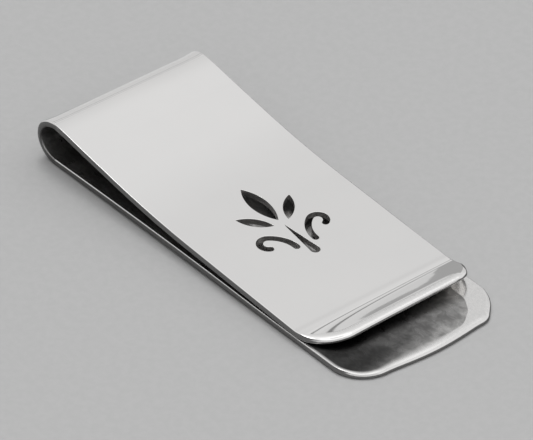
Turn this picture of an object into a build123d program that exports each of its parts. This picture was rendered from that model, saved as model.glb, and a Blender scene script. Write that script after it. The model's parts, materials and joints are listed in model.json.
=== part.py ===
from build123d import *
import math
import os

# A money clip bent from one strip of polished sterling silver.
#
# The strip is folded at a tight round bow. The back leaf lies on the table and is the longer one; the
# front leaf springs down on it, ends in a small turned-up lip and is pierced with a sprig ornament.
# The metal is one piece, so the bow is divided into short rigid segments that let the clip open.
#
# Frame: +X runs from the bow to the tips, +Y across the strip, +Z up. The origin is under the middle of
# the clip's outline, on the plane it rests on. Millimetres and degrees.

# Strip
LENGTH = 65.0  # from the outside of the bow to the back tip
WIDTH = 25.0
THICKNESS = 0.9
EDGE_RADIUS = 0.2  # polished long edges

# Bow
BOW_RADIUS = 3.3  # outside
BOW_SEGMENTS = 6
OPENING = 8.0  # how far the front leaf turns about the bow's axis
SEAM_SPARE = 0.06  # angle still left in each seam when the clip is fully open

# Back leaf: a shallow arch, then flat to the tip
ARCH_SLOPE = 1.2  # rise of the leaf where it leaves the bow
ARCH_LENGTH = 24.0  # each half of the arch
BACK_TIP_BULGE = 0.6
BACK_CORNER_RADII = (5.0, 6.5)  # at -Y and at +Y

# Front leaf: straight, a gentle bend, straight to the grip line, then the lip
FRONT_SLOPE = 9.3  # fall of the leaf where it leaves the bow
FRONT_STEPS = (
    (12.4, 0.0),  # length along the leaf, upward turn over that length
    (15.0, 6.3),
    (21.0, 0.0),
    (2.3, 18.0),
    (3.5, 0.0),
)
FRONT_CORNER_RADII = (5.5, 2.8)  # at -Y and at +Y

# Pierced sprig, in a flat frame: across = +Y, along = towards the tips, from the sprig's centre
SPRIG_FROM_BOW = 34.2  # from the outside of the bow, along X
TENDRIL_WIDTH = 0.9
TENDRIL_ROOT = (5.2, 1.55)  # along, across
TENDRIL_SWEEP = (4.2, 58.0)  # radius, angle of the long arc
TENDRIL_CURL = (1.1, 190.0)  # radius, angle of the curl at its end
MIDDLE_LEAF = ((-8.0, 0.0), (-0.4, 0.0), 1.2)  # tip, base, half width
SIDE_LEAF = ((-3.6, 4.4), (0.2, 1.2), 0.75)
STEM_TIP = (0.8, 0.0)
STEM_BULB = (7.0, 0.65)  # along, radius

HALF_WIDTH = WIDTH / 2
BOW_X = BOW_RADIUS - LENGTH / 2  # the bow's axis
TALL = 4 * BOW_RADIUS  # taller than the clip, so that cuts pass right through it


def unit(angle):
    """The direction at an angle, measured from +X towards +Z."""
    return Vector(math.cos(math.radians(angle)), math.sin(math.radians(angle)))


def walk(point, heading, steps):
    """Follows lengths and turns from a point; gives (point, heading) at each step's start, middle, end."""
    stations = []
    for length, turn in steps:
        trio = [(point, heading)]
        for _ in range(2):
            half_turn = math.radians(turn) / 2
            chord = length / 2
            if half_turn:
                chord *= math.sin(half_turn / 2) / (half_turn / 2)
            point = point + unit(heading + turn / 4) * chord
            heading += turn / 2
            trio.append((point, heading))
        stations.append(trio)
    return stations


def offset_edge(trio, offset):
    """One step's edge, moved sideways by offset (positive to the left of its heading)."""
    start, middle, end = (point + unit(heading + 90) * offset for point, heading in trio)
    if math.isclose(trio[0][1], trio[2][1]):
        return Line(start, end)
    return ThreePointArc(start, middle, end)


def strip_face(stations, inward):
    """The closed profile of a strip whose outside follows the stations."""
    outside = [offset_edge(trio, 0) for trio in stations]
    inside = [offset_edge(trio, inward) for trio in stations]
    caps = [Line(outside[0] @ 0, inside[0] @ 0), Line(outside[-1] @ 1, inside[-1] @ 1)]
    return make_face(outside + inside + caps)


def across_strip(face):
    """Extrudes an XZ profile over the strip's whole width."""
    return extrude(Plane.XZ * face, HALF_WIDTH, both=True)


def tip_plan(tip_x, bulge, corner_radii):
    """A tall block with the plan outline of a leaf, from the bow to its rounded tip."""
    corner_x = tip_x - bulge
    edges = [
        Line((corner_x, -HALF_WIDTH), (BOW_X - TALL, -HALF_WIDTH)),
        Line((BOW_X - TALL, -HALF_WIDTH), (BOW_X - TALL, HALF_WIDTH)),
        Line((BOW_X - TALL, HALF_WIDTH), (corner_x, HALF_WIDTH)),
    ]
    if bulge:
        edges.append(ThreePointArc((corner_x, HALF_WIDTH), (tip_x, 0), (corner_x, -HALF_WIDTH)))
    else:
        edges.append(Line((corner_x, HALF_WIDTH), (corner_x, -HALF_WIDTH)))
    plan = make_face(edges)
    for side, radius in zip((-1, 1), corner_radii):
        corner = plan.vertices().sort_by_distance((corner_x, side * HALF_WIDTH))[0]
        plan = fillet(corner, radius)
    return extrude(plan, TALL, both=True)


def soften(solid, cap_point):
    """Rounds every edge of a leaf except those around its end face at the bow."""
    cap = solid.faces().sort_by_distance(cap_point)[0]
    spared = {hash(edge) for edge in cap.edges()}
    edges = [edge for edge in solid.edges() if hash(edge) not in spared]
    return fillet(edges, EDGE_RADIUS)


def vesica(tip, base, half_width):
    """A pointed leaf between two points, drawn with two arcs."""
    tip, base = Vector(*tip), Vector(*base)
    middle = (tip + base) / 2
    side = (base - tip).normalized().rotate(Axis.Z, 90) * half_width
    return make_face([ThreePointArc(tip, middle + side, base), ThreePointArc(base, middle - side, tip)])


def tendril(side):
    """A stroke that leaves the stem, sweeps outwards and curls over, on side +1 or -1 of the sprig."""
    along, across = TENDRIL_ROOT
    radius, angle = TENDRIL_SWEEP
    curl_radius, curl_angle = TENDRIL_CURL
    centre = Vector(along, across + radius)
    turn_point = centre + unit(-90 - angle) * radius
    curl_centre = turn_point + (centre - turn_point).normalized() * curl_radius
    sweep = CenterArc(centre, radius, -90 - angle, angle)
    curl = CenterArc(curl_centre, curl_radius, -90 - angle - curl_angle, curl_angle)
    stroke = SlotArc(sweep, TENDRIL_WIDTH) + SlotArc(curl, TENDRIL_WIDTH)
    return stroke if side > 0 else mirror(stroke, Plane.XZ)


def stem():
    """A narrow drop: a point towards the bow and a round bulb towards the tips."""
    along, radius = STEM_BULB
    tip = Vector(*STEM_TIP)
    lean = math.degrees(math.asin(radius / (along - tip.X)))
    bulb = Vector(along, 0)
    left, right = (bulb + unit(side * (90 + lean)) * radius for side in (1, -1))
    round_end = ThreePointArc(left, bulb + Vector(radius, 0), right)
    return make_face([Line(tip, left), round_end, Line(right, tip)])


def sprig():
    """The ornament as flat faces, centred on its own origin."""
    (tip_along, tip_across), (base_along, base_across), half_width = SIDE_LEAF
    shapes = [vesica(*MIDDLE_LEAF), stem()]
    for side in (-1, 1):
        tip, base = (tip_along, side * tip_across), (base_along, side * base_across)
        shapes += [vesica(tip, base, half_width), tendril(side)]
    return shapes


def back_leaf():
    """The longer leaf, which carries the clip; its outside is its underside."""
    start = Vector(BOW_X, BOW_RADIUS) + unit(ARCH_SLOPE - 90) * BOW_RADIUS
    half_run = ARCH_LENGTH * math.sin(math.radians(ARCH_SLOPE)) / math.radians(ARCH_SLOPE)
    flat = LENGTH / 2 - start.X - 2 * half_run
    steps = [
        (ARCH_LENGTH, -ARCH_SLOPE),
        (ARCH_LENGTH / 2, -ARCH_SLOPE),
        (ARCH_LENGTH / 2, ARCH_SLOPE),
        (flat, 0),
    ]
    leaf = across_strip(strip_face(walk(start, ARCH_SLOPE, steps), THICKNESS))
    leaf = leaf & tip_plan(LENGTH / 2, BACK_TIP_BULGE, BACK_CORNER_RADII)
    return soften(leaf, (start.X, 0, start.Y + THICKNESS / 2))


def front_leaf():
    """The shorter leaf on top, pierced and lipped; its outside is its top."""
    start = Vector(BOW_X, BOW_RADIUS) + unit(90 - FRONT_SLOPE) * BOW_RADIUS
    stations = walk(start, -FRONT_SLOPE, FRONT_STEPS)
    leaf = across_strip(strip_face(stations, -THICKNESS))
    lip_end = leaf.bounding_box().max.X
    leaf = leaf & tip_plan(lip_end, 0, FRONT_CORNER_RADII)
    leaf = soften(leaf, (start.X, 0, start.Y - THICKNESS / 2))
    sprig_x = SPRIG_FROM_BOW - LENGTH / 2
    for shape in sprig():
        leaf -= extrude(Pos(sprig_x, 0, 0) * shape, TALL)
    return leaf


def bow_segment(index):
    """One rigid slice of the bow, counted from the back leaf; the seams close up as the clip opens."""
    seam = OPENING / (BOW_SEGMENTS + 1) + SEAM_SPARE
    bow_angle = 180 + ARCH_SLOPE + FRONT_SLOPE
    sweep = (bow_angle - (BOW_SEGMENTS + 1) * seam) / BOW_SEGMENTS
    first = 270 + ARCH_SLOPE - seam - index * (sweep + seam)
    start = Vector(BOW_X, BOW_RADIUS) + unit(first) * BOW_RADIUS
    length = math.radians(sweep) * BOW_RADIUS
    stations = walk(start, first - 90, [(length, -sweep)])
    segment = across_strip(strip_face(stations, -THICKNESS))
    long_edges = segment.edges().filter_by(GeomType.CIRCLE)
    return fillet(long_edges, EDGE_RADIUS)


def main():
    os.makedirs("parts", exist_ok=True)
    nodes = {"back_leaf": back_leaf(), "front_leaf": front_leaf()}
    for index in range(BOW_SEGMENTS):
        nodes[f"bow_segment_{index + 1}"] = bow_segment(index)
    for name, solid in nodes.items():
        export_step(solid, f"parts/{name}.step")


main()
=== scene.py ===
import json
import math

import bpy
import numpy as np
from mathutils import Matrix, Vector
from mathutils.geometry import delaunay_2d_cdt


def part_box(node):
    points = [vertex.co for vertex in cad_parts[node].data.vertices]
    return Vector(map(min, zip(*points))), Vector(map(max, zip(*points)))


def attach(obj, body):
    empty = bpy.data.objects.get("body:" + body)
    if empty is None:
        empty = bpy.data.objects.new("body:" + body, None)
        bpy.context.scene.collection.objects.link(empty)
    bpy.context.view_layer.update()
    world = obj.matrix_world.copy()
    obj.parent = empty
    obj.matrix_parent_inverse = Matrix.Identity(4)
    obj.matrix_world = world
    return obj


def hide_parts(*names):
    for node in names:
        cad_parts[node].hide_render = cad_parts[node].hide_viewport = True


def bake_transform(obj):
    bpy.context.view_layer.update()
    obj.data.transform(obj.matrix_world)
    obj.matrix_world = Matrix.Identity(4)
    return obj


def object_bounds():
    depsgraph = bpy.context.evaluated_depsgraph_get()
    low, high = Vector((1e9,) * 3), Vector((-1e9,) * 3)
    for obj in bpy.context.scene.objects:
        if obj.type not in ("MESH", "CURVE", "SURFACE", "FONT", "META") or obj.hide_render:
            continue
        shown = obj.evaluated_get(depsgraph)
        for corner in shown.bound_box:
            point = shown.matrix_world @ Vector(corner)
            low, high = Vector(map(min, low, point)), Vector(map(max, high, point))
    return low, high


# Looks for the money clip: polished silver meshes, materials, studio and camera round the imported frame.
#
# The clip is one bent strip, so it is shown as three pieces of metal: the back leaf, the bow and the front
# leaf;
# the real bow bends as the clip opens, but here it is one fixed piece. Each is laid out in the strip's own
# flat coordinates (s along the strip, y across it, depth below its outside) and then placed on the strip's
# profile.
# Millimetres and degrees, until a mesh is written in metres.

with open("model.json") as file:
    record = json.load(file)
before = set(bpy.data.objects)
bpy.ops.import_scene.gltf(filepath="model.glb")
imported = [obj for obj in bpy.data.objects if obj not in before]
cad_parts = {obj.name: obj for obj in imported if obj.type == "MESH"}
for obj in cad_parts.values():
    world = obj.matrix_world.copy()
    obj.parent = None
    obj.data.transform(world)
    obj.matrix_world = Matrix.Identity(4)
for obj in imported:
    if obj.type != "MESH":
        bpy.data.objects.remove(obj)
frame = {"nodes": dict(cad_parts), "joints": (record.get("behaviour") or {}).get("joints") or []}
cad_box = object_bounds()

MM = 0.001

# ---------------------------------------------------------------- sizes of the strip
LOW, HIGH = (np.array(corner) / MM for corner in cad_box)
AXIS_X, _, AXIS_Z = (value / MM for value in frame["joints"][0]["pos_m"])  # the bow's, for every joint
BOW_RADIUS = AXIS_X - LOW[0]
HALF_WIDTH = (HIGH[1] - LOW[1]) / 2
THICKNESS = 0.9
ARCH_SLOPE = 1.2
ARCH_LENGTH = 24.0
FRONT_SLOPE = 9.3
FRONT_STEPS = ((12.4, 0.0), (15.0, 6.3), (21.0, 0.0))  # up to the lip: length, upward turn
LIP_STEPS = ((2.3, 18.0), (3.5, 0.0))
LIP_START = sum(length for length, _ in FRONT_STEPS)
LIP_SLOPE = sum(turn for _, turn in FRONT_STEPS + LIP_STEPS) - FRONT_SLOPE
BACK_TIP_BULGE = 0.6

# Corners at -Y and at +Y: radius by the tip edge, length of a flat at 45 degrees, radius by the long edge
BACK_CORNERS = ((5.0, 0.0, 5.0), (2.4, 1.6, 5.4))
FRONT_CORNERS = ((5.5, 0.0, 5.5), (2.8, 0.0, 2.8))

# Edge rounding: how far it reaches in from the edge, how far it reaches down
LONG_EDGE = (0.2, 0.2)
FRONT_TIP_EDGE = (1.35, 0.64)
BACK_TIP_EDGE = (0.9, 0.55)
TIP_UNDERSIDE = (0.2, 0.14)
CUT_EDGE = (0.07, 0.07)

# Sprig: along = towards the tips from its centre, across = +Y
SPRIG_FROM_BOW = 34.2  # from the outside of the bow, along X
TENDRIL_WIDTH = 0.9
TENDRIL_ROOT = (5.2, 1.55)
TENDRIL_SWEEP = (4.2, 58.0)
TENDRIL_CURL = (1.1, 190.0)
MIDDLE_LEAF = ((-8.0, 0.0), (-0.4, 0.0), 1.2)
SIDE_LEAF = ((-3.6, 4.4), (0.2, 1.2), 0.75)
STEM_TIP = 0.8
STEM_BULB = (7.0, 0.65)

# Mesh density
GRID = 0.6
LIP_GRID = 0.18
LOOP_STEP = 0.13  # along outlines
ACROSS = 41  # points across the strip at the bow
BOW_RINGS = 97
TIP_POINTS = 61  # along the tip edge, between its corners
EDGE_STEPS = 8  # round each quarter of an edge's ellipse
FINE_TIP = 12.0  # length of the back leaf's tip with a finer grid
CLEARANCE = 0.4 * LOOP_STEP  # between outlines and the points of the grid, which avoids slivers
BATCH = 1000  # points tested against an outline at a time


def smoothstep(low, high, value):
    t = np.clip((value - low) / (high - low), 0, 1)
    return t * t * (3 - 2 * t)


def unit_rows(vectors):
    return vectors / np.maximum(np.linalg.norm(vectors, axis=1), 1e-9)[:, None]


# ---------------------------------------------------------------- the profile
class Profile:
    """The outside of the strip in the XZ plane, as lengths and turns from a start point.

    outside is +1 where the strip's outside is to the left of the way it runs, and -1 to the right.
    """

    def __init__(self, start, heading, steps, outside):
        self.outside = outside
        self.starts, self.pieces = [], []
        s, point, angle = 0.0, np.array(start, float), math.radians(heading)
        for length, turn in steps:
            bend = math.radians(turn) / length
            self.starts.append(s)
            self.pieces.append((point, angle, bend))
            point, angle = self._along(point, angle, bend, length)
            s += length
        self.length = s

    @staticmethod
    def _along(point, angle, bend, run):
        end = angle + bend * run
        if bend == 0:
            move = np.stack([run * np.cos(angle), run * np.sin(angle)], -1)
        else:
            move = np.stack([np.sin(end) - np.sin(angle), np.cos(angle) - np.cos(end)], -1) / bend
        return point + move, end

    def at(self, s):
        """Points (n, 2) and headings (n,) at distances s along the outside."""
        s = np.asarray(s, float)
        index = np.clip(np.searchsorted(self.starts, s, side="right") - 1, 0, len(self.pieces) - 1)
        points, angles = np.zeros((len(s), 2)), np.zeros(len(s))
        for number, (point, angle, bend) in enumerate(self.pieces):
            here = index == number
            if here.any():
                run = s[here] - self.starts[number]
                points[here], angles[here] = self._along(point, angle, bend, run)
        return points, angles

    def find_x(self, x):
        """The distance s at which the outside reaches x, for a leaf."""
        s = np.linspace(0, self.length, 4000)
        return float(np.interp(x, self.at(s)[0][:, 0], s))


def place(profile, flat, depth, tilt, outward, swell):
    """Lays flat points on a profile.

    flat holds (s, y); depth is the distance below the outside; tilt is the normal's angle from the
    outside's normal towards outward, a flat direction away from the metal; swell gives how far the
    sheet stands proud at (s, y). Returns points and normals in 3-D, in millimetres.
    """
    s, y = flat[:, 0], flat[:, 1]
    points, angles = profile.at(s)
    zero = np.zeros(len(s))
    run = np.stack([np.cos(angles), zero, np.sin(angles)], -1)
    normal = np.stack([-np.sin(angles), zero, np.cos(angles)], -1) * profile.outside
    across = np.stack([zero, zero + 1, zero], -1)
    step = 0.02  # over which the swell's slopes are taken
    proud = swell(s, y)
    slope_s = (swell(s + step, y) - swell(s - step, y)) / (2 * step)
    slope_y = (swell(s, y + step) - swell(s, y - step)) / (2 * step)
    face = unit_rows(normal - run * slope_s[:, None] - across * slope_y[:, None])
    climb = outward[:, :1] * slope_s[:, None] + outward[:, 1:] * slope_y[:, None]
    side = unit_rows(run * outward[:, :1] + across * outward[:, 1:] + normal * climb)
    surface = np.stack([points[:, 0], y, points[:, 1]], -1) + normal * proud[:, None]
    normals = face * np.cos(tilt)[:, None] + side * np.sin(tilt)[:, None]
    return surface - face * depth[:, None], normals


# ---------------------------------------------------------------- flat outlines
def arc_points(centre, radius, start, sweep):
    """Points on an arc, angles in degrees, spaced by about LOOP_STEP."""
    count = max(3, math.ceil(abs(math.radians(sweep)) * radius / LOOP_STEP))
    angles = np.radians(np.linspace(start, start + sweep, count + 1))
    return np.stack([centre[0] + radius * np.cos(angles), centre[1] + radius * np.sin(angles)], -1)


def line_points(start, end, step=LOOP_STEP * 3):
    count = max(2, math.ceil(math.dist(start, end) / step))
    return np.linspace(start, end, count + 1)


def joined(*runs):
    """One path from several runs, with the points that they share kept once."""
    path = [runs[0]]
    for run in runs[1:]:
        path.append(run[1:] if np.allclose(run[0], path[-1][-1], atol=1e-6) else run)
    return np.concatenate(path)


def corner_path(corner):
    """The corner at +Y from the tip edge to the long edge, where the square corner would be at (0, 0)."""
    tip_radius, flat, side_radius = corner
    half = math.sqrt(0.5)
    reach = (1 - half) * tip_radius + half * (flat + side_radius)
    width = half * (tip_radius + flat) + (1 - half) * side_radius
    by_tip = arc_points((-tip_radius, -width), tip_radius, 0, 45)
    by_side = arc_points((-reach, -side_radius), side_radius, 45, 45)
    between = [line_points(by_tip[-1], by_side[0], LOOP_STEP)] if flat else []
    return joined(by_tip, *between, by_side)


def tip_path(tip, bulge, corners):
    """The edge of a leaf from the bow at -Y, round its tip, back to the bow at +Y."""
    near, far = (corner_path(corner) for corner in corners)
    corner_s = tip - bulge
    near = near[::-1] * (1, -1) + (corner_s, -HALF_WIDTH)
    far = far + (corner_s, HALF_WIDTH)
    across = np.linspace(-1, 1, TIP_POINTS)[1:-1]
    middle = (near[-1, 1] + far[0, 1]) / 2
    reach = (far[0, 1] - near[-1, 1]) / 2
    tip_edge = np.stack([corner_s + bulge * (1 - across**2) ** 1.5, middle + across * reach], -1)
    return joined(
        line_points((0, -HALF_WIDTH), near[0]),
        near,
        tip_edge,
        far,
        line_points(far[-1], (0, HALF_WIDTH)),
    )


def circle_through(start, middle, end):
    """Centre and radius of the circle through three points."""
    rows = np.array([np.subtract(middle, start), np.subtract(end, start)])
    offset = np.linalg.solve(2 * rows, (rows**2).sum(1))
    return np.asarray(start) + offset, float(np.linalg.norm(offset))


def bowed(start, end, sagitta):
    """An arc from start to end that bulges to the right of the way it runs."""
    start, end = np.array(start, float), np.array(end, float)
    run = (end - start) / np.linalg.norm(end - start)
    top = (start + end) / 2 + np.array([run[1], -run[0]]) * sagitta
    centre, radius = circle_through(start, top, end)
    first, last = (math.degrees(math.atan2(*(point - centre)[::-1])) for point in (start, end))
    return arc_points(centre, radius, first, (last - first) % 360)


def vesica(tip, base, half_width):
    return joined(bowed(tip, base, half_width), bowed(base, tip, half_width))[:-1]


def tendril():
    """Outline of the stroke on the +Y side: out along one side, round its end and back."""
    along, across = TENDRIL_ROOT
    radius, angle = TENDRIL_SWEEP
    curl, curl_angle = TENDRIL_CURL
    half = TENDRIL_WIDTH / 2
    centre = np.array([along, across + radius])
    aim = math.radians(-90 - angle)
    curl_centre = centre + np.array([math.cos(aim), math.sin(aim)]) * (radius - curl)
    start, turn, end = -90, -90 - angle, -90 - angle - curl_angle
    root, last = np.radians(start), np.radians(end)
    root_point = centre + radius * np.array([np.cos(root), np.sin(root)])
    end_point = curl_centre + curl * np.array([np.cos(last), np.sin(last)])
    return joined(
        arc_points(curl_centre, curl + half, end, curl_angle),
        arc_points(centre, radius + half, turn, angle),
        arc_points(root_point, half, start, 180),
        arc_points(centre, radius - half, start, -angle),
        arc_points(curl_centre, curl - half, turn, -curl_angle),
        arc_points(end_point, half, end + 180, 180),
    )[:-1]


def stem():
    along, radius = STEM_BULB
    lean = math.degrees(math.asin(radius / (along - STEM_TIP)))
    round_end = arc_points((along, 0), radius, -90 - lean, 180 + 2 * lean)
    tip = (STEM_TIP, 0)
    return joined(line_points(tip, round_end[0], LOOP_STEP), round_end,
                  line_points(round_end[-1], tip, LOOP_STEP))[:-1]


def sprig_loops(centre_s):
    """The openings of the ornament, each a closed loop that runs anticlockwise."""
    tip, base, half_width = SIDE_LEAF
    loops = [vesica(*MIDDLE_LEAF), stem()]
    for loop in (vesica(tip, base, half_width), tendril()):
        loops += [loop, (loop * (1, -1))[::-1]]
    return [anticlockwise(loop) + (centre_s, 0) for loop in loops]


def anticlockwise(loop):
    following = np.roll(loop, -1, axis=0)
    area = (loop[:, 0] * following[:, 1] - following[:, 0] * loop[:, 1]).sum()
    return loop if area > 0 else loop[::-1]


def outward_directions(path, closed):
    """Unit flat directions to the right of a path, at each of its points."""
    if closed:
        along = np.roll(path, -1, axis=0) - np.roll(path, 1, axis=0)
    else:
        along = np.gradient(path, axis=0)
    right = np.stack([along[:, 1], -along[:, 0]], -1)
    return right / np.linalg.norm(right, axis=1)[:, None]


def inside(points, loop):
    """Which points are inside a closed loop, by the even-odd rule."""
    if len(points) > BATCH:
        return np.concatenate([inside(points[i:i + BATCH], loop) for i in range(0, len(points), BATCH)])
    x, y = points[:, 0][:, None], points[:, 1][:, None]
    x0, y0 = loop.T
    x1, y1 = np.roll(loop, -1, axis=0).T
    rise = np.where(y1 == y0, 1e-12, y1 - y0)
    crosses = ((y0 > y) != (y1 > y)) & (x < (x1 - x0) * (y - y0) / rise + x0)
    return crosses.sum(1) % 2 == 1


def distance_to(points, path):
    """Distance from each point to the nearest of a path's points."""
    return np.concatenate([
        np.linalg.norm(points[i:i + BATCH, None] - path[None], axis=2).min(1)
        for i in range(0, len(points), BATCH)
    ])


# ---------------------------------------------------------------- meshes
NO_RIM = 9.0  # rim_distance where no rim is near
HULL_TRIANGLES = 0  # the triangulation's output that fills the convex hull


class Sheet:
    """Collects the points and faces of one piece of the strip."""

    def __init__(self, profile, swell):
        self.profile, self.swell = profile, swell
        self.outline = None
        self.flat, self.depth, self.tilt, self.outward, self.cut = [], [], [], [], []
        self.count = 0
        self.faces = []

    def add(self, flat, depth, tilt, outward=None, cut=0.0):
        """Adds a row of points and returns their numbers; cut is 1 on the walls of a sawn opening."""
        n = len(flat)
        self.flat.append(np.asarray(flat, float))
        self.depth.append(np.broadcast_to(np.asarray(depth, float), n).copy())
        self.tilt.append(np.broadcast_to(np.asarray(tilt, float), n).copy())
        self.outward.append(np.zeros((n, 2)) if outward is None else outward)
        self.cut.append(np.full(n, float(cut)))
        self.count += n
        return np.arange(self.count - n, self.count)

    def strip_between(self, first, second, closed, turned):
        """Quads between two rows of the same length."""
        count = len(first) if closed else len(first) - 1
        for i in range(count):
            j = (i + 1) % len(first)
            quad = (first[i], first[j], second[j], second[i])
            self.faces.append(quad[::-1] if turned else quad)

    def edge(self, path, closed, top, bottom, cut=0.0):
        """The rounded edge along a path that has the metal to its left, as rows from top to bottom.

        top and bottom hold, for each point of the path, how far the rounding reaches in and down.
        """
        outward = outward_directions(path, closed)
        if not closed:
            outward[0], outward[-1] = (0, -1), (0, 1)
        rows = []
        for below, (reach, drop) in enumerate((top.T, bottom.T)):
            for step in range(EDGE_STEPS + 1):
                turn = math.pi / 2 * (EDGE_STEPS - step if below else step) / EDGE_STEPS
                inset = reach * (1 - math.sin(turn))
                depth = drop * (1 - math.cos(turn))
                tilt = np.arctan2(drop * math.sin(turn), reach * math.cos(turn))
                if below:
                    depth, tilt = THICKNESS - depth, math.pi - tilt
                rows.append(self.add(path - outward * inset[:, None], depth, tilt, outward, cut))
        for upper, lower in zip(rows, rows[1:]):
            self.strip_between(upper, lower, closed, turned=True)
        return rows

    def surface(self, rims, extra, depth, tilt):
        """Triangles over one face of the sheet, inside the first rim and outside the others."""
        flat = np.concatenate(self.flat)
        loops = [flat[numbers] for numbers in rims]
        keep = inside(extra, loops[0])
        for loop in loops[1:]:
            keep &= ~inside(extra, loop)
        keep &= distance_to(extra, np.concatenate(loops)) > CLEARANCE
        inner = extra[keep]
        added = self.add(inner, depth, tilt)
        numbers = np.concatenate(rims + [added])
        points = np.concatenate(loops + [inner])
        edges, first = [], 0
        for loop in loops:
            n = len(loop)
            edges += [(first + i, first + (i + 1) % n) for i in range(n)]
            first += n
        result = delaunay_2d_cdt([Vector(p) for p in points], edges, [], HULL_TRIANGLES, 1e-7, True)
        vertices, triangles, sources = result[0], result[2], result[3]
        owner = [numbers[source[0]] for source in sources]
        place_2d = np.array([tuple(v) for v in vertices])
        centres = place_2d[np.array(triangles)].mean(1)
        wanted = inside(centres, loops[0])
        for loop in loops[1:]:
            wanted &= ~inside(centres, loop)
        for triangle, good in zip(triangles, wanted):
            if good:
                corners = tuple(owner[i] for i in triangle)
                self.faces.append(corners if depth == 0 else corners[::-1])

    def build(self, name):
        """Writes the mesh object, with exact normals and the attributes that the silver reads."""
        flat, depth = np.concatenate(self.flat), np.concatenate(self.depth)
        tilt, outward = np.concatenate(self.tilt), np.concatenate(self.outward)
        points, normals = place(self.profile, flat, depth, tilt, outward, self.swell)
        faces = self.faces
        if self.profile.outside < 0:
            faces = [face[::-1] for face in faces]
        mesh = bpy.data.meshes.new(name)
        mesh.from_pydata((points * MM).tolist(), [], [tuple(int(i) for i in f) for f in faces])
        mesh.validate()
        mesh.polygons.foreach_set("use_smooth", np.ones(len(mesh.polygons), bool))
        rim = np.full(len(flat), NO_RIM) if self.outline is None else distance_to(flat, self.outline)
        for label, values in (("rim_distance", rim),
                              ("inner_side", smoothstep(0.5, 1.0, depth / THICKNESS)),
                              ("saw_cut", np.concatenate(self.cut) * np.sin(tilt) ** 4)):
            attribute = mesh.attributes.new(label, "FLOAT", "POINT")
            attribute.data.foreach_set("value", values.astype(np.float32))
        mesh.normals_split_custom_set_from_vertices(normals.tolist())
        piece = bpy.data.objects.new(name, mesh)
        bpy.context.scene.collection.objects.link(piece)
        return piece


def grid_points(s_values, y_values):
    s, y = np.meshgrid(s_values, y_values, indexing="ij")
    return np.stack([s.ravel(), y.ravel()], -1)


def edge_rounding(path, long_edge, tip_edge):
    """The rounding at each point of a leaf's edge: crisp on the long edges, softer round the tip."""
    towards_tip = np.clip(outward_directions(path, False)[:, :1], 0, 1)
    return np.array(long_edge) + (np.array(tip_edge) - long_edge) * smoothstep(0, 0.8, towards_tip)


def leaf(name, profile, bulge, corners, tip_edge, holes, s_values, swell):
    """One leaf from the bow to its tip, closed all round."""
    sheet = Sheet(profile, swell)
    path = tip_path(profile.length, bulge, corners)
    sheet.outline = path
    upper, lower = (edge_rounding(path, LONG_EDGE, edge) for edge in (tip_edge, TIP_UNDERSIDE))
    rows = sheet.edge(path, False, *((upper, lower) if profile.outside > 0 else (lower, upper)))
    hole_rows = []
    for loop in holes:
        rounding = np.tile(CUT_EDGE, (len(loop), 1))
        hole_rows.append(sheet.edge(loop[::-1], True, rounding, rounding, cut=1.0))
    y_values = np.linspace(-HALF_WIDTH, HALF_WIDTH, round(2 * HALF_WIDTH / GRID) + 1)
    extra = grid_points(s_values, y_values)
    seam_y = np.linspace(HALF_WIDTH - LONG_EDGE[0], LONG_EDGE[0] - HALF_WIDTH, ACROSS)[1:-1]
    seam = np.stack([np.zeros(len(seam_y)), seam_y], -1)
    seams = []
    for side, depth, tilt in ((0, 0.0, 0.0), (-1, THICKNESS, math.pi)):
        seam_row = sheet.add(seam, depth, tilt)
        seams.append(seam_row)
        outer = np.concatenate([rows[side], seam_row])
        rims = [outer] + [hole[side] for hole in hole_rows]
        sheet.surface(rims, extra, depth, tilt)
    cap = [row[0] for row in rows] + list(seams[1][::-1]) + [row[-1] for row in rows[::-1]] + list(seams[0])
    sheet.faces.append(cap[::-1])
    return sheet.build(name)


def bow_section():
    """The strip's rounded section as rows of y, depth, tilt and side, clockwise seen along the strip."""
    round_y, round_depth = LONG_EDGE
    flat = np.linspace(round_y - HALF_WIDTH, HALF_WIDTH - round_y, ACROSS)
    top = [(y, 0.0, 0.0, 0.0) for y in flat]
    turns = [math.pi / 2 * step / EDGE_STEPS for step in range(EDGE_STEPS + 1)]
    far = []
    for turn in turns[1:]:
        y = HALF_WIDTH - round_y * (1 - math.sin(turn))
        far.append((y, round_depth * (1 - math.cos(turn)), turn, 1.0))
    far += [(y, THICKNESS - depth, math.pi - tilt, side) for y, depth, tilt, side in far[::-1]]
    far.append((flat[-1], THICKNESS, math.pi, 1.0))
    under = [(y, THICKNESS, math.pi, 0.0) for y in flat[::-1][1:]]
    near = [(-y, depth, tilt, -side) for y, depth, tilt, side in far[::-1][1:]]
    return np.array(top + far + under + near)


def bow(name, profile, swell):
    """The bend between the leaves, swept along the profile with the leaves' own cross-section."""
    sheet = Sheet(profile, swell)
    y, depth, tilt, side = bow_section().T
    outward = np.stack([np.zeros(len(y)), side], -1)
    rings = []
    for s in np.linspace(0, profile.length, BOW_RINGS):
        rings.append(sheet.add(np.stack([np.full(len(y), s), y], -1), depth, tilt, outward))
    for first, second in zip(rings, rings[1:]):
        sheet.strip_between(first, second, True, turned=True)
    sheet.faces.append(rings[0])
    sheet.faces.append(rings[-1][::-1])
    return sheet.build(name)


def flat_sheet(s, y):
    return np.zeros(np.broadcast(s, y).shape)


# ---------------------------------------------------------------- the three pieces
def bow_point(polar):
    angle = math.radians(polar)
    return AXIS_X + BOW_RADIUS * math.cos(angle), AXIS_Z + BOW_RADIUS * math.sin(angle)


BOW_START, BOW_END = 270 + ARCH_SLOPE, 90 - FRONT_SLOPE
BOW_LENGTH = math.radians(BOW_START - BOW_END) * BOW_RADIUS

# The edges of a strip curl outwards where it is bent tightly
CURL_HEIGHT = 0.28
CURL_WIDTH = 2.6

# The bend runs out softly into the front leaf
EASE_SLOPE = 4.0
EASE_LENGTH = 6.0


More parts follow.
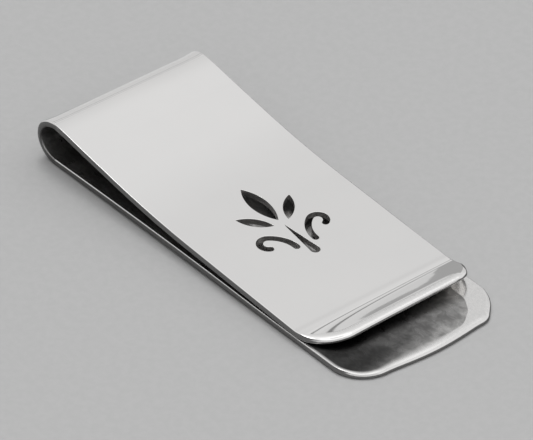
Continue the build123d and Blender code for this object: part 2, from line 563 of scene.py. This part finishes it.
def ease_out(past):
    """How far the metal stands proud at a distance past the seam between the bow and the front leaf."""
    fade = np.clip(1 - np.abs(past) / EASE_LENGTH, 0, 1) ** 2
    return math.tan(math.radians(EASE_SLOPE)) * past * fade


# The lip: how far it is turned up and how suddenly, at its near (-Y) and far (+Y) ends
LIP_TURN = (14.5, 18.5)
LIP_LAST = (-9.0, 4.5)  # further turn in the last stretch: down at the near end, up at the far end
LIP_FULLNESS = 0.6  # below 1, the middle of the lip is turned up nearly as far as its far end
LIP_SUDDENNESS = (1.6, 6.0)
LIP_DELAY = 1.1  # how far past the grip line the main turn begins
LIP_EASE = 3.0  # how much the leaf has turned up before that
LIP_EASE_RISE = 0.1  # height over which that slight turn sets in


def near_to_far(pair, far):
    """From the first of a pair at the near end, where far is 0, to the second at the far end."""
    return pair[0] + (pair[1] - pair[0]) * far


def front_swell(s, y, lip_run):
    """The unevenly turned-up lip, over the last lip_run of the leaf, and the run-out of the bend."""
    length = lip_run - LIP_DELAY
    run = np.clip((s - LIP_START - LIP_DELAY) / length, 0, 1)
    far = np.clip((y + HALF_WIDTH) / (2 * HALF_WIDTH), 0, 1)
    turn = np.tan(np.radians(near_to_far(LIP_TURN, far**LIP_FULLNESS)))
    power = 1 + near_to_far(LIP_SUDDENNESS, far)
    main = turn * length * (run - (1 - (1 - run) ** power) / power)
    last = np.tan(np.radians(near_to_far(LIP_LAST, far))) * length * run**3 / 3
    ease = math.tan(math.radians(LIP_EASE)) * np.maximum(s - LIP_START + LIP_DELAY / 2, 0)
    return main + last + ease * smoothstep(0, LIP_EASE_RISE, ease) + ease_out(s)


def back_profile():
    start = bow_point(BOW_START)
    half_run = ARCH_LENGTH * math.sin(math.radians(ARCH_SLOPE)) / math.radians(ARCH_SLOPE)
    flat = HIGH[0] - start[0] - 2 * half_run
    steps = (
        (ARCH_LENGTH, -ARCH_SLOPE),
        (ARCH_LENGTH / 2, -ARCH_SLOPE),
        (ARCH_LENGTH / 2, ARCH_SLOPE),
        (flat, 0),
    )
    return Profile(start, ARCH_SLOPE, steps, -1)


def make_back_leaf():
    profile = back_profile()
    fine = profile.length - FINE_TIP
    s_values = np.concatenate([np.arange(GRID, fine, GRID), np.arange(fine, profile.length, GRID / 2)])
    tip = (BACK_TIP_BULGE, BACK_CORNERS, BACK_TIP_EDGE)
    return leaf("back_leaf_metal", profile, *tip, [], s_values, flat_sheet)


def make_front_leaf():
    start = bow_point(BOW_END)
    points, headings = Profile(start, -FRONT_SLOPE, FRONT_STEPS, 1).at([LIP_START])
    tip_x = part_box("front_leaf")[1].x / MM - THICKNESS * math.sin(math.radians(LIP_SLOPE))
    lip_run = (tip_x - points[0, 0]) / math.cos(headings[0])
    profile = Profile(start, -FRONT_SLOPE, FRONT_STEPS + ((lip_run, 0),), 1)
    holes = sprig_loops(profile.find_x(LOW[0] + SPRIG_FROM_BOW))
    fine = LIP_START - GRID
    s_values = np.concatenate([np.arange(GRID, fine, GRID), np.arange(fine, profile.length, LIP_GRID)])
    tip = (0.0, FRONT_CORNERS, FRONT_TIP_EDGE)
    return leaf("front_leaf_metal", profile, *tip, holes, s_values, lambda s, y: front_swell(s, y, lip_run))


def bow_swell(s, y):
    """Edges that curl away from the bow's axis, fading out at the leaves."""
    edge = np.clip((np.abs(y) - HALF_WIDTH + CURL_WIDTH) / CURL_WIDTH, 0, 1) ** 2
    run = np.clip(s / BOW_LENGTH, 0, 1)
    return CURL_HEIGHT * edge * np.sin(math.pi * run) ** 2 + ease_out(s - BOW_LENGTH)


def make_bow():
    profile = Profile(bow_point(BOW_START), BOW_START - 90, ((BOW_LENGTH, BOW_END - BOW_START),), 1)
    return bow("bow_metal", profile, bow_swell)


# ---------------------------------------------------------------- materials
class Graph:
    """Builds a node tree with short calls: each adds a node and returns its output."""

    def __init__(self, owner):
        owner.use_nodes = True
        self.tree = owner.node_tree
        self.tree.nodes.clear()

    def add(self, kind, inputs, output=0, **settings):
        node = self.tree.nodes.new("ShaderNode" + kind)
        for key, value in settings.items():
            setattr(node, key, value)
        for key, value in inputs.items():
            if isinstance(value, bpy.types.NodeSocket):
                self.tree.links.new(value, node.inputs[key])
            else:
                node.inputs[key].default_value = value
        return node.outputs[output] if len(node.outputs) else node

    def math(self, operation, first, second):
        return self.add("Math", {0: first, 1: second}, operation=operation)

    def product(self, first, second):
        return self.math("MULTIPLY", first, second)

    def total(self, first, second):
        return self.math("ADD", first, second)

    def mix(self, factor, first, second):
        """Mixes two numbers, which have the Mix node's inputs 2 and 3."""
        return self.add("Mix", {0: factor, 2: first, 3: second}, 0, data_type="FLOAT")

    def blend(self, factor, first, second):
        """Mixes two colours, which have its inputs 6 and 7, and its output 2."""
        return self.add("Mix", {0: factor, 6: first, 7: second}, 2, data_type="RGBA")

    def greys(self, factor, pair):
        """Mixes two greys, each a tone and how warm it is."""
        return self.blend(factor, *(grey(*one) for one in pair))

    def ramp(self, value, low, high):
        """0 at low, 1 at high, and a smooth step between them."""
        return self.add("MapRange", {0: value, 1: low, 2: high}, interpolation_type="SMOOTHSTEP")

    def dot(self, first, second):
        return self.add("VectorMath", {0: first, 1: second}, "Value", operation="DOT_PRODUCT")

    def object_place(self):
        """The place on the object, in metres, in the frame of the CAD at rest."""
        return self.add("TexCoord", {}, "Object")

    def axes(self, vector):
        return [self.add("SeparateXYZ", {0: vector}, axis) for axis in "XYZ"]

    def light_path(self, kind):
        return self.add("LightPath", {}, kind)

    def noise(self, place, scale, detail=2.0, roughness=0.5, distortion=0.0):
        inputs = {"Vector": place, "Scale": scale, "Detail": detail, "Roughness": roughness,
                  "Distortion": distortion}
        return self.add("TexNoise", inputs)

    def stretch(self, place, scale, turn):
        inputs = {"Vector": place, "Scale": scale, "Rotation": (0, 0, math.radians(turn))}
        return self.add("Mapping", inputs, vector_type="POINT")

    def attribute(self, name):
        return self.add("Attribute", {}, "Fac", attribute_name=name)


def grey(value, warmth=0.0):
    return (value * (1 + warmth), value, value * (1 - warmth), 1.0)


# A finish is a colour, a roughness and a height. Places, spans and depths are in metres, but distances
# from the rim are in millimetres. Tones are reflectances, and a grey is a tone and how warm it is. A
# noise is a scale (features per metre, or 1 where a stretch sets it), a detail, a roughness and a
# distortion. A stretch is the features per metre on each axis, and a turn about Z.

# The polished outside
SILVER_GREYS = ((0.90, 0.006), (0.94, 0.012))
SILVER_CLOUDS = (90, 4, 0.55)
SILVER_ROUGHNESS = 0.035
SMUDGES = (260, 6, 0.6, 0.4)
SMUDGE_ROUGHNESS = 0.045  # what a wiping mark adds
HAIRLINES = (1, 2)
HAIRLINE_STRETCHES = (((260, 7000, 900), 12), ((5200, 180, 900), -24))
HAIRLINE_ROUGHNESS = 0.03
HAIRLINE_DEPTH = 0.00000012
RIPPLES = (130, 1)
RIPPLE_DEPTH = 0.0000035
FILE_MARKS = (1400, 3, 0.6)
FILED_DEPTH = 0.000022
FILED_FROM = (0.0235, 0.0250)  # x over which the marks of the file set in
FILED_BAND = (1.3, 0.5)  # distances from the rim

# The unpolished inside, whose tones carry painted shade and painted light. Under the lip the painted shade
# is a tone, then low, high and the next tone for each span of y.
UNDER_LIP_SHADE_TONES = (0.055, (-0.009, -0.002, 0.15), (-0.003, 0.009, 0.40))
WEDGE_SHADE_TONE = 0.52  # painted shade: a lower tone between the leaves, behind the tips, than where the inside is open
WEDGE_END = (0.014, 0.024)  # x over which the painted shade under the lip takes over
OPEN_LIGHT_TONE = 0.66  # painted light: a higher tone past the lip, where light reaches the inside
OPEN_FROM = (0.0282, 0.0338)  # x over which it sets in, halfway across
OPEN_SLANT = 0.13  # how much sooner towards +Y
LIP_UNDERSIDE = ((0.019, 0.024), (0.00096, 0.0011))  # x and z over which the painted light on the lip's underside sets in
LIP_UNDERSIDE_LIGHT = 0.6  # how far the lip's underside takes the painted light of the open part
TARNISH = (1, 6, 0.6, 0.6)
TARNISH_STRETCH = ((700, 950, 500), -30)
TARNISH_GREYS = ((0.0, 0.0), (1.0, 0.012))
TARNISH_SHADES = (0.72, 1.12)  # factors on the tone
TARNISH_ROUGHNESS = (0.40, 0.27)
TARNISH_DEPTH = 0.000007
PATCHES = (420, 3, 0.5)
PATCH_SHADES = (0.84, 1.08)

# The brighter border of the inside, with widths and softness like the tones above
BORDER_WIDTHS = (0.35, (-0.011, 0.000, 1.15), (0.005, 0.0095, 3.3))
BORDER_SOFTNESS = (0.25, (-0.011, -0.004, 0.8), (-0.003, 0.005, 0.06))
BORDER_WIDTH_BEHIND = 0.25  # along the long edges, behind the tips
BORDER_FROM = (0.020, 0.025)  # x over which the widths above take over
BORDER_GRAIN = (2600, 3, 0.6)
BORDER_GREYS = ((0.80, 0.006), (0.94, 0.012))
BORDER_ROUGHNESS = (0.14, 0.24)
BORDER_DEPTH = 0.0000015

# The walls of the pierced ornament
SAW_MARKS = (1, 3)
SAW_STRETCH = ((5000, 5000, 300), 0)
SAWN_GREYS = ((0.40, 0.02), (0.72, 0.02))
SAWN_ROUGHNESS = 0.45
SAW_MARK_DEPTH = 0.000004


def stepped(g, position, first, *steps):
    """A value that changes from first to the next one over each span (low, high, next) of a position."""
    for low, high, value in steps:
        first = g.mix(g.ramp(position, low, high), first, value)
    return first


def hairlines(g, place):
    """Fine straight scratches that run two ways, as a mask."""
    fields = (g.noise(g.stretch(place, *stretch), *HAIRLINES) for stretch in HAIRLINE_STRETCHES)
    return g.math("MAXIMUM", *(g.ramp(field, 0.64, 0.8) for field in fields))


def filed_tips(g, place, x):
    """The uneven marks of the file round the tips, as a height."""
    mask = g.product(g.ramp(x, *FILED_FROM), g.ramp(g.attribute("rim_distance"), *FILED_BAND))
    return g.product(g.product(g.noise(place, *FILE_MARKS), FILED_DEPTH), mask)


def mirror_finish(g, place, x):
    """The polished outside, with faint hairlines, wiping marks and filed tips."""
    colour = g.greys(g.noise(place, *SILVER_CLOUDS), SILVER_GREYS)
    smudge = g.ramp(g.noise(place, *SMUDGES), 0.5, 0.78)
    scratches = hairlines(g, place)
    roughness = g.total(SILVER_ROUGHNESS, g.product(smudge, SMUDGE_ROUGHNESS))
    roughness = g.total(roughness, g.product(scratches, HAIRLINE_ROUGHNESS))
    ripple = g.product(g.noise(place, *RIPPLES), RIPPLE_DEPTH)
    height = g.total(ripple, g.product(scratches, HAIRLINE_DEPTH))
    return colour, roughness, g.total(height, filed_tips(g, place, x))


def inside_light_and_shade(g, x, y, z):
    """Painted shade and light on the inside: darkest under the lip's near end and lower between the leaves,
    where shade falls, brightest past the lip, where light reaches in.
    """
    # painted shade: lower tones between the leaves and under the lip's near end
    tone = g.mix(g.ramp(x, *WEDGE_END), WEDGE_SHADE_TONE, stepped(g, y, *UNDER_LIP_SHADE_TONES))
    from_x, from_z = LIP_UNDERSIDE
    lip = g.product(g.ramp(x, *from_x), g.ramp(z, *from_z))
    # painted light: brighter past the lip, and on the lip's underside
    slant = g.total(x, g.product(y, OPEN_SLANT))
    painted_light_part = g.math("MAXIMUM", g.ramp(slant, *OPEN_FROM), g.product(lip, LIP_UNDERSIDE_LIGHT))
    return g.mix(painted_light_part, tone, OPEN_LIGHT_TONE)


def unpolished_finish(g, place, x, y, z):
    """The rubbed and slightly tarnished inside, with painted shade under the lip and between the leaves,
    and painted light past the lip.
    """
    rubbed = g.noise(g.stretch(place, *TARNISH_STRETCH), *TARNISH)
    mottle = g.ramp(rubbed, 0.34, 0.66)
    patches = g.ramp(g.noise(place, *PATCHES), 0.35, 0.65)
    tone = g.product(inside_light_and_shade(g, x, y, z), g.mix(mottle, *TARNISH_SHADES))
    tone = g.product(tone, g.mix(patches, *PATCH_SHADES))
    colour = g.greys(tone, TARNISH_GREYS)
    return colour, g.mix(mottle, *TARNISH_ROUGHNESS), g.product(rubbed, TARNISH_DEPTH)


def border_finish(g, place):
    """The border of the inside: bright, but without the outside's mirror polish."""
    grain = g.noise(place, *BORDER_GRAIN)
    return g.greys(grain, BORDER_GREYS), g.mix(grain, *BORDER_ROUGHNESS), g.product(grain, BORDER_DEPTH)


def border_mask(g, x, y):
    """1 on the border of the inside, which is widest and clear-cut at the tip's far corner."""
    width = g.mix(g.ramp(x, *BORDER_FROM), BORDER_WIDTH_BEHIND, stepped(g, y, *BORDER_WIDTHS))
    past_border = g.math("SUBTRACT", g.attribute("rim_distance"), width)
    return g.ramp(g.math("DIVIDE", past_border, stepped(g, y, *BORDER_SOFTNESS)), 1.0, -1.0)


def sawn_finish(g, place):
    """The walls of the pierced ornament, with the upright marks of the saw."""
    marks = g.noise(g.stretch(place, *SAW_STRETCH), *SAW_MARKS)
    return g.greys(marks, SAWN_GREYS), SAWN_ROUGHNESS, g.product(marks, SAW_MARK_DEPTH)


def layer(g, mask, below, above):
    """One finish over another."""
    colour = g.blend(mask, below[0], above[0])
    return colour, g.mix(mask, below[1], above[1]), g.mix(mask, below[2], above[2])


def polished_silver():
    """Sterling silver: mirror-polished outside, unpolished inside, grey saw cuts."""
    material = bpy.data.materials.new("polished_silver")
    g = Graph(material)
    place = g.object_place()
    x, y, z = g.axes(place)
    unpolished = unpolished_finish(g, place, x, y, z)
    inside_finish = layer(g, border_mask(g, x, y), unpolished, border_finish(g, place))
    finish = layer(g, g.attribute("inner_side"), mirror_finish(g, place, x), inside_finish)
    colour, roughness, height = layer(g, g.attribute("saw_cut"), finish, sawn_finish(g, place))
    bump = g.add("Bump", {"Height": height, "Distance": 1.0, "Strength": 1.0})
    surface = g.add("BsdfPrincipled", {"Base Color": colour, "Metallic": 1.0, "Roughness": roughness,
                                       "Normal": bump})
    g.add("OutputMaterial", {"Surface": surface})
    return material


# ---------------------------------------------------------------- studio
# Azimuths run from +X towards +Y and elevations up from the horizon. Lengths here are in metres.
PAPER_GRAIN = (900, 4, 0.6)
FLOOR_TONE = 0.453
FLOOR_UNEVENNESS = (0.98, 1.02)
FLOOR_IN_METAL = (0.105, 0.6)  # what the metal mirrors: round the clip, and behind its bow
BEHIND_BOW = (-0.86, 0.51, 0)  # the way from the camera past the bow
BEHIND_BOW_FROM = (0.030, 0.042)
FLOOR_SIZE = 3.0
FLOOR_GAP = 0.00002  # under the clip
BACKDROP = 0.49  # what the camera sees past the floor

# Tones by elevation: a tone, then low, high and the next tone for each change of it
SURROUNDINGS = (0.30, (5, 60, 0.46))

# Zones of the surroundings: azimuth, half width of the full tone, half width to where it has faded out
FRONT_WALL = (325, 35, 60)
FRONT_WALL_TONE = 0.60
DARK_CORNER = (250, 15, 32)
DARK_CORNER_TONE = 0.10

# A tall panel behind the clip, and the dark seams across it
PANEL = (155, 60, 75)
PANEL_TONES = (
    0.62,
    (14, 20, 0.66),
    (24, 27, 0.70),
    (29, 31, 0.74),
    (32, 37, 0.65),
    (38, 42, 0.69),
    (43, 50, 0.75),
)
SEAMS = (158, 17, 20)
SEAM_ELEVATIONS = (22.0, 30.0)
SEAM_HALF_WIDTHS = (0.4, 1.3)  # of its core and of its fading edge
SEAM_DEPTH = 0.42

# A panel to the right, off the floor
SIDE_PANEL = (55, 42, 54)
SIDE_PANEL_FROM = (4, 12)  # elevations over which it sets in
SIDE_PANEL_TONE = 0.76

# The soft box overhead
OVERHEAD_TONES = ((54, 60, 0.95), (66, 72, 1.25), (76, 82, 0.84))

# A strip light that draws the line of light along the front leaf's near edge
STRIP_LIGHT = (221, 9, 16)
STRIP_LIGHT_SPAN = ((54, 57), (65, 62))  # elevations of its lower and upper edges
STRIP_LIGHT_TONE = 3.0

KEY_AZIMUTH = 150
KEY_ELEVATION = 66
KEY_ANGLE = 26  # its width in the sky
KEY_STRENGTH = 1.1

# A low grey card behind the clip, in the XZ plane: its edge slopes down to a dip, then rises in a thin wing
CARD_Y = 0.08
CARD_TONE = 0.37
CARD_TOP = 0.052
CARD_ENDS = (-0.119, -0.036)
CARD_SLOPE = ((-0.080, CARD_TOP), (-0.0885, 0.038), (-0.092, 0.028), (-0.096, 0.0252))
CARD_WING = ((-0.100, 0.0278), (-0.1065, 0.0358), (-0.118, 0.0523), (-0.119, 0.0523))


def facing(g, level, zone):
    """1 for level directions in the middle of a zone, 0 outside it."""
    azimuth, core, faded = (math.radians(value) for value in zone)
    nearness = g.dot(level, (math.cos(azimuth), math.sin(azimuth), 0))
    return g.ramp(nearness, math.cos(faded), math.cos(core))


def elevation_step(g, height, low, high):
    """0 below the elevation low, 1 above high, and the other way round where high is the lower one."""
    return g.ramp(height, math.sin(math.radians(low)), math.sin(math.radians(high)))


def tones_by_elevation(g, height, first, *steps):
    for low, high, tone in steps:
        first = g.mix(elevation_step(g, height, low, high), first, tone)
    return first


def panel_tone(g, level, height):
    """The tall panel's tone in a direction, with its seams."""
    panel = tones_by_elevation(g, height, *PANEL_TONES)
    core, faded = SEAM_HALF_WIDTHS
    seam_zone = facing(g, level, SEAMS)
    for middle in SEAM_ELEVATIONS:
        seam = g.product(elevation_step(g, height, middle - faded, middle - core),
                         elevation_step(g, height, middle + faded, middle + core))
        panel = g.math("SUBTRACT", panel, g.product(g.product(seam, seam_zone), SEAM_DEPTH))
    return panel


def studio_light():
    """Soft box, panels and walls round the clip, as a world whose tone depends on the direction."""
    world = bpy.data.worlds.new("studio")
    bpy.context.scene.world = world
    g = Graph(world)
    direction = g.add("TexCoord", {}, "Generated")
    height = g.axes(direction)[2]
    level = g.add("VectorMath", {0: direction, 1: (1, 1, 0)}, operation="MULTIPLY")
    level = g.add("VectorMath", {0: level}, operation="NORMALIZE")

    light = tones_by_elevation(g, height, *SURROUNDINGS)
    light = g.mix(facing(g, level, FRONT_WALL), light, FRONT_WALL_TONE)
    light = g.mix(facing(g, level, DARK_CORNER), light, DARK_CORNER_TONE)
    light = g.mix(facing(g, level, PANEL), light, panel_tone(g, level, height))
    side = g.product(facing(g, level, SIDE_PANEL), elevation_step(g, height, *SIDE_PANEL_FROM))
    light = g.mix(side, light, SIDE_PANEL_TONE)
    light = tones_by_elevation(g, height, light, *OVERHEAD_TONES)
    strip = facing(g, level, STRIP_LIGHT)
    for edge in STRIP_LIGHT_SPAN:
        strip = g.product(strip, elevation_step(g, height, *edge))
    light = g.mix(strip, light, STRIP_LIGHT_TONE)
    seen = g.mix(g.light_path("Is Camera Ray"), light, BACKDROP)
    g.add("OutputWorld", {"Surface": g.add("Background", {"Color": seen, "Strength": 1.0})})


def towards(azimuth, elevation):
    """The unit vector towards an azimuth and an elevation."""
    azimuth, elevation = math.radians(azimuth), math.radians(elevation)
    return Vector((math.cos(azimuth) * math.cos(elevation), math.sin(azimuth) * math.cos(elevation),
                   math.sin(elevation)))


def key_light():
    """A large soft source, far away, high behind the clip; the metal doesn't mirror it."""
    data = bpy.data.lights.new("soft_key", "SUN")
    data.angle = math.radians(KEY_ANGLE)
    data.energy = KEY_STRENGTH
    lamp = bpy.data.objects.new("soft_key", data)
    lamp.visible_glossy = False
    lamp.rotation_mode = "QUATERNION"
    lamp.rotation_quaternion = towards(KEY_AZIMUTH, KEY_ELEVATION).to_track_quat("Z", "Y")
    bpy.context.scene.collection.objects.link(lamp)


def grey_card():
    """A card that only the clip's reflections see."""
    left, right = CARD_ENDS
    outline = ((left, 0), (right, 0), (right, CARD_TOP)) + CARD_SLOPE + CARD_WING
    mesh = bpy.data.meshes.new("grey_card")
    mesh.from_pydata([(x, CARD_Y, z) for x, z in outline], [], [tuple(range(len(outline)))])
    material = bpy.data.materials.new("grey_card")
    g = Graph(material)
    g.add("OutputMaterial", {"Surface": g.add("Emission", {"Color": grey(CARD_TONE), "Strength": 1.0})})
    mesh.materials.append(material)
    card = bpy.data.objects.new("grey_card", mesh)
    card.visible_camera = card.visible_diffuse = card.visible_shadow = False
    bpy.context.scene.collection.objects.link(card)


def floor_paper():
    """Pale seamless paper; the metal sees it darker than the camera does."""
    material = bpy.data.materials.new("studio_paper")
    g = Graph(material)
    place = g.object_place()
    grain = g.ramp(g.noise(place, *PAPER_GRAIN), 0.3, 0.7)
    pale = g.blend(grain, *(grey(FLOOR_TONE * shade) for shade in FLOOR_UNEVENNESS))
    behind_bow = g.ramp(g.dot(place, BEHIND_BOW), *BEHIND_BOW_FROM)
    in_metal = g.blend(behind_bow, *(grey(tone) for tone in FLOOR_IN_METAL))
    colour = g.blend(g.light_path("Is Glossy Ray"), pale, in_metal)
    surface = g.add("BsdfPrincipled", {"Base Color": colour, "Roughness": 0.9, "Specular IOR Level": 0.1})
    g.add("OutputMaterial", {"Surface": surface})
    return material


def studio_floor():
    half = FLOOR_SIZE / 2
    mesh = bpy.data.meshes.new("studio_floor")
    corners = [(-half, -half, 0), (half, -half, 0), (half, half, 0), (-half, half, 0)]
    mesh.from_pydata(corners, [], [(0, 1, 2, 3)])
    mesh.materials.append(floor_paper())
    floor = bpy.data.objects.new("studio_floor", mesh)
    floor.location.z = cad_box[0][2] - FLOOR_GAP
    bpy.context.scene.collection.objects.link(floor)


# ---------------------------------------------------------------- camera
CAMERA_AZIMUTH = -39.3  # from +X towards +Y, as seen from the clip
CAMERA_ELEVATION = 36.4
CAMERA_DISTANCE = 0.769  # metres
CAMERA_AIM = (-1.8, 0.6, 0.7)  # this and the two below in millimetres
LENS = 406
SENSOR_WIDTH = 36


def add_camera():
    data = bpy.data.cameras.new("camera")
    data.lens, data.sensor_width = LENS, SENSOR_WIDTH
    data.clip_start, data.clip_end = 0.05, 10
    camera = bpy.data.objects.new("camera", data)
    bpy.context.scene.collection.objects.link(camera)
    back = towards(CAMERA_AZIMUTH, CAMERA_ELEVATION)
    camera.location = Vector(CAMERA_AIM) * MM + back * CAMERA_DISTANCE
    camera.rotation_mode = "QUATERNION"
    camera.rotation_quaternion = (-back).to_track_quat("-Z", "Y")
    bpy.context.scene.camera = camera


# ---------------------------------------------------------------- the scene
def main():
    silver = polished_silver()
    back, front, bend = make_back_leaf(), make_front_leaf(), make_bow()
    for piece in (back, front, bend):
        piece.data.materials.append(silver)
    for piece, body in ((back, "back_leaf"), (front, "front_leaf")):
        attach(piece, body)
        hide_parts(body)
    segments = [name for name in frame["nodes"] if name.startswith("bow_segment_")]
    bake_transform(bend)
    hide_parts(*segments)

    studio_light()
    key_light()
    grey_card()
    studio_floor()
    add_camera()
    bpy.context.scene.view_settings.view_transform = "Standard"


main()
